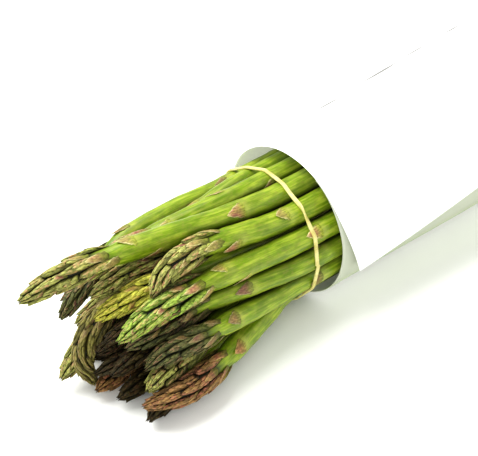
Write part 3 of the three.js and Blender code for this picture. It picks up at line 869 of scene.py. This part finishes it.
def make_band(spears, material, shift):
    """The rubber band: a flat strip with soft edges that turns over once on its way round."""
    loop, at = even_loop(band_outline(spears), BAND_STATIONS)
    ahead = np.roll(loop, -1, 0) - np.roll(loop, 1, 0)
    ahead /= np.linalg.norm(ahead, axis=1, keepdims=True)
    outward = np.stack([ahead[:, 1], -ahead[:, 0]], 1)
    clock = np.degrees(np.arctan2(loop[:, 1] - BUNDLE_CENTRE_Z, loop[:, 0])) % 360
    turned = math.pi * smooth_step(BAND_TURNS_FROM, BAND_TURNS_TO, clock)[:, None]
    sway = 0.5 * np.sin(at * 0.06) + 0.3 * np.sin(at * 0.17 + 1)
    round_it = round_angles(BAND_SIDES)
    width = BAND_WIDTH / 2 * squarish(np.cos(round_it))
    depth = BAND_THICKNESS / 2 * squarish(np.sin(round_it))
    off_flat = np.abs(np.sin(turned)) * (BAND_WIDTH - BAND_THICKNESS) / 2
    along_x = width * np.cos(turned) - depth * np.sin(turned)
    out = width * np.sin(turned) + depth * np.cos(turned) + off_flat
    x = BAND_TILT * (loop[:, 1:] - BUNDLE_CENTRE_Z) + sway[:, None] + along_x
    y = loop[:, :1] + outward[:, :1] * out
    z = np.maximum(loop[:, 1:] + outward[:, 1:] * out, 0.25)
    skin = Skin(("from_butt", "around_y", "around_z"))
    skin.add_points(np.stack([x, y, z], -1), {
        "from_butt": np.repeat(at, BAND_SIDES),
        "around_y": np.tile(width, BAND_STATIONS),
        "around_z": np.tile(depth, BAND_STATIONS),
    })
    here = np.arange(BAND_STATIONS * BAND_SIDES).reshape(BAND_STATIONS, BAND_SIDES)
    beside = np.roll(here, -1, 1)
    corners = [here, beside, np.roll(beside, -1, 0), np.roll(here, -1, 0)]
    skin.add_faces(np.stack(corners, -1).reshape(-1, 4))
    piece = skin.make("rubber_band_turned", [material], shift)
    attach(piece, "root")
    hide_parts("rubber_band")


# Paper


def sheet_points(turned, share, lower=0):
    """Middle of the smooth sheet, by the degrees turned from its outer edge and its length share."""
    near_edge = np.maximum(0, 1 - turned / PAPER_FLAP_TURN) ** 2
    inward = PAPER_LAYER_GAP * turned / 360 - PAPER_FLAP_LIFT * near_edge
    near_corner = np.maximum(0, 1 - turned / PAPER_CORNER_TURN) ** 2
    front_x = PAPER_FRONT_X + PAPER_CORNER_SLANT * near_corner
    bottom_inward = PAPER_LAYER_GAP * (PAPER_OUTER_END + 90) / 360
    half_z = mix(PAPER_FRONT_Z, PAPER_BACK_Z, share)
    centre_z = half_z - bottom_inward - PAPER_SINK + PAPER_THICKNESS / 2
    clock = np.radians(PAPER_OUTER_END + lower - turned)
    x = mix(front_x, PAPER_BACK_X, share)
    y = (mix(PAPER_FRONT_Y, PAPER_BACK_Y, share) - inward) * np.cos(clock)
    z = np.maximum(PAPER_THICKNESS / 2, centre_z + (half_z - inward) * np.sin(clock))
    return np.stack([x, y, z], -1)


def sheet_outward(turned, share, lower=0):
    """Direction out of the roll."""
    along = sheet_points(turned + 0.5, share, lower) - sheet_points(turned - 0.5, share, lower)
    outward = np.stack([0 * along[..., 0], -along[..., 2], along[..., 1]], -1)
    return outward / np.linalg.norm(outward, axis=-1, keepdims=True)


def flap_slant(turned, share):
    """Degrees by which the flap hangs lower at its front corner and ends higher at the back."""
    edge = mix(FLAP_CORNER_LOWER, -FLAP_END_HIGHER, np.minimum(share / FLAP_SLANT_SHARE, 1))
    return edge * np.clip(1 - turned / FLAP_SLANT_TURN, 0, 1) ** 2


def layout_shift():
    """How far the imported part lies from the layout, from the ends of its paper roll."""
    lowest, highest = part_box("paper_wrap")
    turned, share = np.meshgrid(np.linspace(0, PAPER_TURN, 41), np.linspace(0, 1, 4))
    middle = sheet_points(turned, share)
    half_sheet = sheet_outward(turned, share) * PAPER_THICKNESS / 2
    furthest_y = np.maximum(middle + half_sheet, middle - half_sheet)[..., 1].max()
    return np.array([highest.x / MM - PAPER_BACK_X, highest.y / MM - furthest_y, 0.0])


def unevenness(turned, share):
    """The soft unevenness of a hand-rolled sheet."""
    short = 0.12 * np.sin(turned * 0.11 + 5 * share) * np.sin(7.3 * share + turned * 0.03)
    return short + 0.1 * np.sin(turned * 0.052 - 9 * share + 1.3)


def crease_depth(turned, share):
    """Depth of the dents along the creases."""
    depth = np.zeros_like(share)
    for at_turn, at_share, run_turn, run_share, size, width in CREASES:
        round_it = (turned - at_turn) / CREASE_TURN
        down_it = (share - at_share) / CREASE_SHARE
        run_round = run_turn / CREASE_TURN
        run_down = run_share / CREASE_SHARE
        along = (round_it * run_round + down_it * run_down) / (run_round**2 + run_down**2)
        miss = np.hypot(round_it - along * run_round, down_it - along * run_down)
        faded = np.clip(1 - np.abs(along), 0, 1) ** 0.5
        depth = depth + size * faded * np.exp(-((miss / width) ** 2))
    return depth


def make_paper(material, shift):
    """The sheet of paper: an outer and an inner face with thin edges."""
    turned = np.linspace(0, PAPER_TURN, SHEET_TURNS)
    turned, share = np.meshgrid(turned, np.linspace(0, 1, SHEET_LENGTHS))
    lower = flap_slant(turned, share)
    middle = sheet_points(turned, share, lower)
    outward = sheet_outward(turned, share, lower)
    under = smooth_step(0.9, 3.5, middle[..., 2:])
    tucked = smooth_step(PAPER_TURN - 45, PAPER_TURN - 5, turned)
    tucked = (PAPER_LAYER_GAP - TUCKED_LAYER_GAP) * tucked
    creases = crease_depth(turned, share)
    stands_off = (unevenness(turned, share) - creases) * under[..., 0] + tucked
    middle = middle + outward * stands_off[..., None]
    middle[..., 2] = np.maximum(middle[..., 2], SHEET_HALF + 0.05)
    skin = Skin(("from_edge", "inside", "crease"))
    count = turned.size
    for inside, side in enumerate((SHEET_HALF, -SHEET_HALF)):
        at = {"from_edge": turned.ravel(), "crease": creases.ravel(), "inside": inside}
        skin.add_points(middle + outward * side, at)
    number = np.arange(count).reshape(turned.shape)
    a, b = number[:-1, :-1], number[:-1, 1:]
    c, d = number[1:, 1:], number[1:, :-1]
    skin.add_faces(np.stack([a, d, c, b], -1).reshape(-1, 4))
    skin.add_faces(np.stack([a, b, c, d], -1).reshape(-1, 4) + count)
    rim = np.concatenate([number[0], number[1:, -1], number[-1, -2::-1], number[-2:0:-1, 0]])
    after = np.roll(rim, -1)
    skin.add_faces(np.stack([rim, after, after + count, rim + count], -1))
    piece = skin.make("paper_sheet", [material], shift)
    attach(piece, "root")
    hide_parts("paper_wrap")


# Materials


def colour(code):
    """A colour from its six-digit code, in the renderer's own values."""
    parts = [int(code[i:i + 2], 16) / 255 for i in (0, 2, 4)]
    return (*[x / 12.92 if x <= 0.04045 else ((x + 0.055) / 1.055) ** 2.4 for x in parts], 1)


class Nodes:
    """The nodes of a shader tree. A colour is given to them by its code."""

    def __init__(self, tree):
        self.tree = tree

    def feed(self, socket, value):
        """Links an output to a socket, or sets the socket to a value."""
        if isinstance(value, bpy.types.NodeSocket):
            self.tree.links.new(value, socket)
        else:
            socket.default_value = colour(value) if isinstance(value, str) else value

    def feed_all(self, node, values):
        """Feeds a node's inputs by their names, with low lines for the spaces."""
        for name, value in values.items():
            self.feed(node.inputs[name.replace("_", " ")], value)

    def add(self, kind, **values):
        node = self.tree.nodes.new("ShaderNode" + kind)
        self.feed_all(node, values)
        return node

    def add_group(self, group, **values):
        """Places a shader group and gives its outputs."""
        node = self.add("Group")
        node.node_tree = group
        self.feed_all(node, values)
        return node.outputs

    def maths(self, operation, first, second, clamped=False):
        node = self.add("Math")
        node.operation = operation
        node.use_clamp = clamped
        self.feed(node.inputs[0], first)
        self.feed(node.inputs[1], second)
        return node.outputs[0]

    def times(self, first, second):
        return self.maths("MULTIPLY", first, second)

    def mixed(self, share, first, second, blend="MIX"):
        """Mixes two colours."""
        node = self.add("Mix")
        node.data_type = "RGBA"
        node.blend_type = blend
        for number, value in ((0, share), (6, first), (7, second)):
            self.feed(node.inputs[number], value)
        return node.outputs[2]

    def over(self, under, code, mask, amount=1.0):
        """Lays a colour over another one as far as a mask and an amount say."""
        return self.mixed(self.times(mask, amount), under, code)

    def multiplied(self, under, value):
        return self.mixed(1.0, under, value, "MULTIPLY")

    def between(self, value, low, high, to_low=0.0, to_high=1.0):
        """Maps a range of values to another one, with soft ends."""
        node = self.add("MapRange", Value=value, From_Min=low, From_Max=high, To_Min=to_low,
                        To_Max=to_high)
        node.interpolation_type = "SMOOTHSTEP"
        return node.outputs["Result"]

    def surface_value(self, name):
        node = self.add("Attribute")
        node.attribute_name = name
        return node.outputs["Fac"]

    def noise(self, place, scale, detail=3.0, roughness=0.55):
        node = self.add("TexNoise", Vector=place, Scale=scale, Detail=detail, Roughness=roughness)
        return node.outputs["Fac"]

    def vector(self, x, y, z=0.0):
        return self.add("CombineXYZ", X=x, Y=y, Z=z).outputs[0]

    def object_place(self):
        return self.add("TexCoord").outputs["Object"]


class Surface(Nodes):
    """The nodes of a material, round its own shader."""

    def __init__(self, name):
        self.material = bpy.data.materials.new(name)
        self.material.use_nodes = True
        super().__init__(self.material.node_tree)
        self.shader = self.tree.nodes["Principled BSDF"]

    def finish(self, **values):
        """Feeds the shader and gives the material."""
        self.feed_all(self.shader, values)
        return self.material

    def bump(self, height, strength, distance):
        node = self.add("Bump", Strength=strength, Distance=distance, Height=height)
        return node.outputs["Normal"]


def new_group(name, inputs, outputs):
    """An empty shader group with its sockets: the group, its nodes, its inputs and its output node."""
    group = bpy.data.node_groups.new(name, "ShaderNodeTree")
    for direction, sockets in (("INPUT", inputs), ("OUTPUT", outputs)):
        for socket, kind in sockets.items():
            group.interface.new_socket(socket, in_out=direction, socket_type=kind)
    given = group.nodes.new("NodeGroupInput").outputs
    return group, Nodes(group), given, group.nodes.new("NodeGroupOutput")


def grown_place_group():
    """Place on a spear, drawn out along it by a given amount, so that noise runs like fibres."""
    group, nodes, given, made = new_group(
        "place_on_spear", {"Stretch": "NodeSocketFloat"}, {"Place": "NodeSocketVector"})
    along = nodes.maths("DIVIDE", nodes.surface_value("from_butt"), given["Stretch"])
    place = nodes.vector(along, nodes.surface_value("around_y"), nodes.surface_value("around_z"))
    nodes.feed_all(made, {"Place": place})
    return group


def fibre_group(place_group):
    """Fine lengthwise fibres, soft blotches and an even grain, for the skin of a fresh spear."""
    group, nodes, given, made = new_group(
        "spear_fibres",
        {"Fibre Scale": "NodeSocketFloat", "Blotch Scale": "NodeSocketFloat"},
        {name: "NodeSocketFloat" for name in ("Fibres", "Blotches", "Grain")})
    drawn = nodes.add_group(place_group, Stretch=14.0)["Place"]
    plain = nodes.add_group(place_group, Stretch=2.2)["Place"]
    nodes.feed_all(made, {
        "Fibres": nodes.noise(drawn, given["Fibre Scale"], 4.0, 0.6),
        "Blotches": nodes.noise(plain, given["Blotch Scale"], 3.0, 0.5),
        "Grain": nodes.noise(plain, 1.5, 2.0, 0.6),
    })
    return group


def stalk_material(name, fibres):
    """The stalk's waxy skin: bright green, deeper towards the head and pale towards the cut end.
    Painted shade makes the core of the head near black between its buds, and the skin dark where it
    lies against other spears.
    """
    skin = Surface(name)
    made = skin.add_group(fibres, Fibre_Scale=0.9, Blotch_Scale=0.3)
    body = skin.over(STALK_GREEN, STALK_PALE, skin.between(made["Fibres"], 0.35, 0.68), 0.75)
    body = skin.over(body, STALK_DEEP, skin.between(made["Blotches"], 0.38, 0.64), 0.42)
    towards_butt = skin.between(skin.surface_value("from_tip"), 120, 230)
    body = skin.over(body, "d3d79c", towards_butt, 0.55)
    body = skin.over(body, "b0ac5c", skin.surface_value("node"), 0.4)
    body = skin.over(body, "8a7c40", skin.between(made["Grain"], 0.52, 0.66), 0.3)
    # Painted shade: the core of the head near black between the buds.
    body = skin.over(body, "1c200a", skin.surface_value("sunk"))
    # Painted shade: near black where the stalk lies against other spears.
    body = skin.over(body, "181c08", skin.surface_value("crevice_shade"), 0.9)
    body = skin.over(body, "c9c48a", skin.surface_value("cut"))
    return skin.finish(
        Base_Color=body,
        Roughness=skin.between(made["Fibres"], 0.3, 0.7, 0.34, 0.5),
        Specular_IOR_Level=0.32,
        Coat_Weight=0.05,
        Coat_Roughness=0.35,
        Subsurface_Weight=0.05,
        Subsurface_Radius=(0.9, 1.0, 0.25),
        Subsurface_Scale=0.0015,
        Normal=skin.bump(made["Fibres"], 0.22, 0.00022),
    )


def bract_material(name, fibres, foot, body, edge, blush):
    """A dry-edged bract: greenish foot, purple-brown middle, pale margin and tip."""
    skin = Surface(name)
    made = skin.add_group(fibres, Fibre_Scale=1.6, Blotch_Scale=0.45)
    along = skin.surface_value("along")
    middle = skin.over(body, blush, skin.between(skin.surface_value("chance"), 0.25, 0.8))
    middle = skin.over(middle, foot, skin.between(made["Blotches"], 0.35, 0.65), 0.4)
    middle = skin.over(middle, foot, skin.between(along, 0.5, 0.1), 0.9)
    uneven_margin = skin.maths("ADD", skin.surface_value("margin"), skin.times(made["Fibres"], 0.5))
    rim = skin.times(skin.between(uneven_margin, 0.86, 1.3), skin.between(along, 0.12, 0.5))
    point = skin.times(skin.between(along, 0.72, 1.0), 0.5)
    dry = skin.over(middle, edge, skin.maths("ADD", rim, point, clamped=True), 0.85)
    dry = skin.multiplied(dry, skin.between(made["Fibres"], 0.42, 0.62, 0.82, 1.1))
    dry = skin.multiplied(dry, skin.between(made["Grain"], 0.38, 0.62, 0.74, 1.16))
    # Darker in the gaps between the buds: partly their own colour, partly painted shade.
    dry = skin.over(dry, "1c180c", skin.surface_value("sunk"), 0.6)
    # Painted shade where the bract lies against other spears.
    dry = skin.over(dry, PAINTED_CREVICE_SHADE, skin.surface_value("crevice_shade"), 0.7)
    return skin.finish(
        Base_Color=dry,
        Roughness=skin.between(made["Blotches"], 0.3, 0.7, 0.5, 0.66),
        Specular_IOR_Level=0.25,
        Normal=skin.bump(made["Fibres"], 0.35, 0.0002),
    )


def bud_material(name, fibres, body, crest, shade, blush):
    """The small scales of the buds: shaded feet, matt body, paler crests and tips."""
    skin = Surface(name)
    made = skin.add_group(fibres, Fibre_Scale=2.2, Blotch_Scale=0.5)
    along = skin.surface_value("along")
    chance = skin.surface_value("chance")
    scale = skin.over(body, shade, skin.between(made["Blotches"], 0.35, 0.65), 0.5)
    scale = skin.over(scale, shade, skin.between(along, 0.42, 0.12))
    high = skin.times(skin.between(skin.surface_value("margin"), 0.8, 0.1),
                      skin.between(along, 0.5, 0.95))
    scale = skin.over(scale, crest, high, skin.between(chance, 0, 1, 0.35, 1))
    scale = skin.over(scale, "7c8c20", skin.surface_value("near_stalk"), 0.6)
    blushed = skin.times(skin.between(chance, 0.5, 0.95), skin.between(made["Grain"], 0.4, 0.6))
    scale = skin.over(scale, blush, blushed, 0.7)
    scale = skin.multiplied(scale, skin.between(made["Grain"], 0.36, 0.62, 0.62, 1.25))
    # Darker in the gaps between the buds: partly their own colour, partly painted shade.
    scale = skin.over(scale, "17130a", skin.between(skin.surface_value("sunk"), 0.3, 0.9), 0.7)
    # Painted shade where the bud lies against other spears.
    scale = skin.over(scale, PAINTED_CREVICE_SHADE, skin.surface_value("crevice_shade"), 0.7)
    return skin.finish(
        Base_Color=scale,
        Roughness=skin.between(made["Fibres"], 0.3, 0.7, 0.46, 0.66),
        Specular_IOR_Level=0.25,
        Normal=skin.bump(made["Grain"], 0.6, 0.0004),
    )


def cut_end_material(fibres):
    """The cut face: pale flesh with darker strands in it."""
    end = Surface("asparagus_cut_end")
    blotches = end.add_group(fibres, Fibre_Scale=2.5, Blotch_Scale=0.6)["Blotches"]
    across = end.vector(end.surface_value("around_y"), end.surface_value("around_z"))
    strands = end.add("TexVoronoi", Vector=across, Scale=1.1)
    dots = end.between(strands.outputs["Distance"], 0.32, 0.12)
    flesh = end.mixed(blotches, "d6d69c", "c3b980")
    return end.finish(
        Base_Color=end.over(flesh, "9a9152", dots, 0.6),
        Roughness=end.between(blotches, 0.3, 0.7, 0.5, 0.75),
        Normal=end.bump(dots, 0.4, 0.0003),
    )


STALK_GREEN = "6a8608"
STALK_DEEP = "385404"
STALK_PALE = "a6b43c"
# Painted shade for where a spear lies against the others.
PAINTED_CREVICE_SHADE = "1a160c"

# Colours of the spears by tint: bract foot, body, edge and blush, bud body, crest and shade
TINTS = {
    "fresh": ("8e9c30", "a08850", "ced090", "a8745c", "90a843", "ced88a", "40561a"),
    "yellow": ("9a9a30", "a08a42", "ccc464", "a67c4c", "b6b644", "dede70", "66661c"),
    "olive": ("8e9836", "9a8454", "ccc88c", "a06c58", "9a9c52", "d0d086", "44461a"),
    "khaki": ("888640", "807048", "aaa260", "785a44", "7a743a", "aaa260", "38340f"),
    "dusky": ("747c34", "8a7048", "a09a6c", "7c5848", "585a30", "8a8c56", "262a10"),
    "brown": ("8c8c3c", "966c44", "c2a468", "9c6250", "8c6c40", "bc9e64", "402e16"),
    # Painted shade: this tint stands for heads that lie deep in the bundle or under the others,
    # darkened for the shade that falls on them.
    "dark": ("46401e", "3a2a18", "665638", "4a2e20", "3c3418", "685e32", "161206"),
}


def spear_materials():
    """The four materials of each tint."""
    fibres = fibre_group(grown_place_group())
    cut_end = cut_end_material(fibres)
    made = {}
    for tint, (foot, body, edge, blush, bud, crest, shade) in TINTS.items():
        made[tint] = [
            stalk_material("stalk_skin_" + tint, fibres),
            bract_material("bract_" + tint, fibres, foot, body, edge, blush),
            bud_material("bud_" + tint, fibres, bud, crest, shade, blush),
            cut_end,
        ]
    return made


def rubber_material():
    """Pale natural rubber, a little dusty."""
    band = Surface("pale_rubber")
    place = band.vector(*map(band.surface_value, ("from_butt", "around_y", "around_z")))
    grain = band.noise(place, 1.4, 4.0)
    patches = band.between(band.noise(place, 0.15), 0.35, 0.65)
    rubber = band.mixed(patches, "d6cd8a", "b8ae60")
    return band.finish(
        Base_Color=band.over(rubber, "e6dfa8", band.between(grain, 0.5, 0.7), 0.35),
        Roughness=band.between(grain, 0.3, 0.7, 0.5, 0.7),
        Normal=band.bump(grain, 0.3, 0.0002),
    )


def paper_material():
    """Plain white wrapping paper, with painted shade greying its inside, its lapped under-layer and its
    creases, a painted green glow of the stalks along the lower strip, and a painted glow inside where
    light comes through the single sheet.
    """
    paper = Surface("white_paper")
    place = paper.object_place()
    felt = paper.noise(place, 900, 4.0)
    inside = paper.surface_value("inside")
    turned = paper.surface_value("from_edge")
    painted_crease_shade = paper.between(paper.surface_value("crease"), 0.15, 0.4)
    sheet = paper.mixed(paper.between(paper.noise(place, 60), 0.35, 0.7), "fbfbfa", "f3f4f1")
    # Painted shade: the inside of the sheet greyer.
    sheet = paper.over(sheet, "d4d7cb", inside, 0.6)
    # Painted light: a green glow of the stalks showing through the lower strip.
    sheet = paper.over(sheet, "9db072", paper.between(turned, 306, 336), 0.75)
    # Painted shade: the under-layer below the flap greyer.
    sheet = paper.over(sheet, "b4b8a8", paper.between(turned, 330, 346), 0.9)
    # Painted shade in the creases of the paper.
    sheet = paper.over(sheet, "404038", painted_crease_shade, 0.85)
    # Painted glow: the inside gives off light where the sheet lies single, for light coming through it.
    single = paper.times(paper.between(turned, 84, 112), paper.between(turned, 236, 190))
    through = paper.maths("ADD", paper.times(single, 0.8), 0.2)
    return paper.finish(
        Base_Color=sheet,
        Emission_Color=paper.over("000000", "e6e8dc", through, inside),
        Emission_Strength=0.4,
        Roughness=paper.between(felt, 0.3, 0.7, 0.78, 0.92),
        Normal=paper.bump(felt, 0.12, 0.0003),
    )


def floor_material():
    """The plain white table."""
    table = Surface("white_table")
    fine = table.noise(table.object_place(), 40, 2.0)
    return table.finish(Base_Color=table.mixed(fine, "f4f5f1", "f0f1ed"), Roughness=0.6)


# Table, light and camera

FLOOR_HALF = 6.0
PHOTO_WIDTH = 478
SENSOR_WIDTH = 36
CAMERA_AZIMUTH = -43
CAMERA_ELEVATION = 36
CAMERA_DISTANCE = 700
TARGET = (0, 0, 31)                 # point of the layout that the camera is set by
TARGET_RIGHT = 25.4                 # pixels from the middle of the photo to that point
TARGET_DOWN = 9.6
PIXELS_PER_MM = 2.28                # at that point
WORLD_LIGHT = 0.6

# Name, place, the place that it shines on, size in metres, power in watts
LIGHTS = [
    ("window_light", (-0.3, 0.55, 1.1), (-0.04, 0, 0.03), 1.0, 24),
    ("front_fill", (-0.9, -0.8, 0.7), (-0.04, 0, 0.03), 0.9, 8),
    ("side_fill", (0.42, -0.4, 0.3), (0.03, 0, 0.03), 0.5, 0.8),
]


def make_floor():
    mesh = bpy.data.meshes.new("table_top")
    corners = [(-FLOOR_HALF, -FLOOR_HALF, 0), (FLOOR_HALF, -FLOOR_HALF, 0),
               (FLOOR_HALF, FLOOR_HALF, 0), (-FLOOR_HALF, FLOOR_HALF, 0)]
    mesh.from_pydata(corners, [], [(0, 1, 2, 3)])
    mesh.materials.append(floor_material())
    floor = add_object("table_top", mesh)


def look_along(thing, direction):
    """Turns a light or the camera to look in a direction."""
    thing.rotation_mode = "QUATERNION"
    thing.rotation_quaternion = direction.to_track_quat("-Z", "Y")


def make_light():
    """White surroundings, one soft light from behind on the left, and two weaker ones in front."""
    world = bpy.data.worlds.new("white_room")
    world.use_nodes = True
    background = world.node_tree.nodes["Background"]
    background.inputs["Color"].default_value = (1, 1, 0.99, 1)
    background.inputs["Strength"].default_value = WORLD_LIGHT
    bpy.context.scene.world = world
    for name, place, aim, size, power in LIGHTS:
        data = bpy.data.lights.new(name, "AREA")
        data.size = size
        data.energy = power
        light = add_object(name, data)
        light.location = place
        look_along(light, Vector(aim) - Vector(place))


def make_camera(shift):
    azimuth, elevation = math.radians(CAMERA_AZIMUTH), math.radians(CAMERA_ELEVATION)
    back = Vector((
        math.sin(azimuth) * math.cos(elevation),
        -math.cos(azimuth) * math.cos(elevation),
        math.sin(elevation),
    ))
    data = bpy.data.cameras.new("camera")
    data.sensor_width = SENSOR_WIDTH
    data.lens = PIXELS_PER_MM * CAMERA_DISTANCE / PHOTO_WIDTH * SENSOR_WIDTH
    data.shift_x = -TARGET_RIGHT / PHOTO_WIDTH
    data.shift_y = TARGET_DOWN / PHOTO_WIDTH
    data.clip_start = 0.01
    data.clip_end = 50
    camera = add_object("camera", data)
    target = Vector(np.array(TARGET) + shift) * MM
    camera.location = target + back * CAMERA_DISTANCE * MM
    look_along(camera, -back)
    bpy.context.scene.camera = camera


def main():
    shift = layout_shift()
    make_camera(shift)
    make_light()
    make_floor()
    spears = [Spear(number, row) for number, row in enumerate(SPEARS)]
    settle(spears)
    materials = spear_materials()
    for spear in spears:
        measure_crevices(spear, spears)
        # The innermost spears take the darkest tint, as painted shade for spears hidden in the bundle.
        tint = "dark" if spear.layer < INNERMOST_LAYER else spear.tint
        make_spear(spear, materials[tint], shift)
    make_band(spears, rubber_material(), shift)
    make_paper(paper_material(), shift)
    bpy.context.scene.view_settings.view_transform = "Standard"
    bpy.context.scene.view_settings.look = "Medium High Contrast"


main()
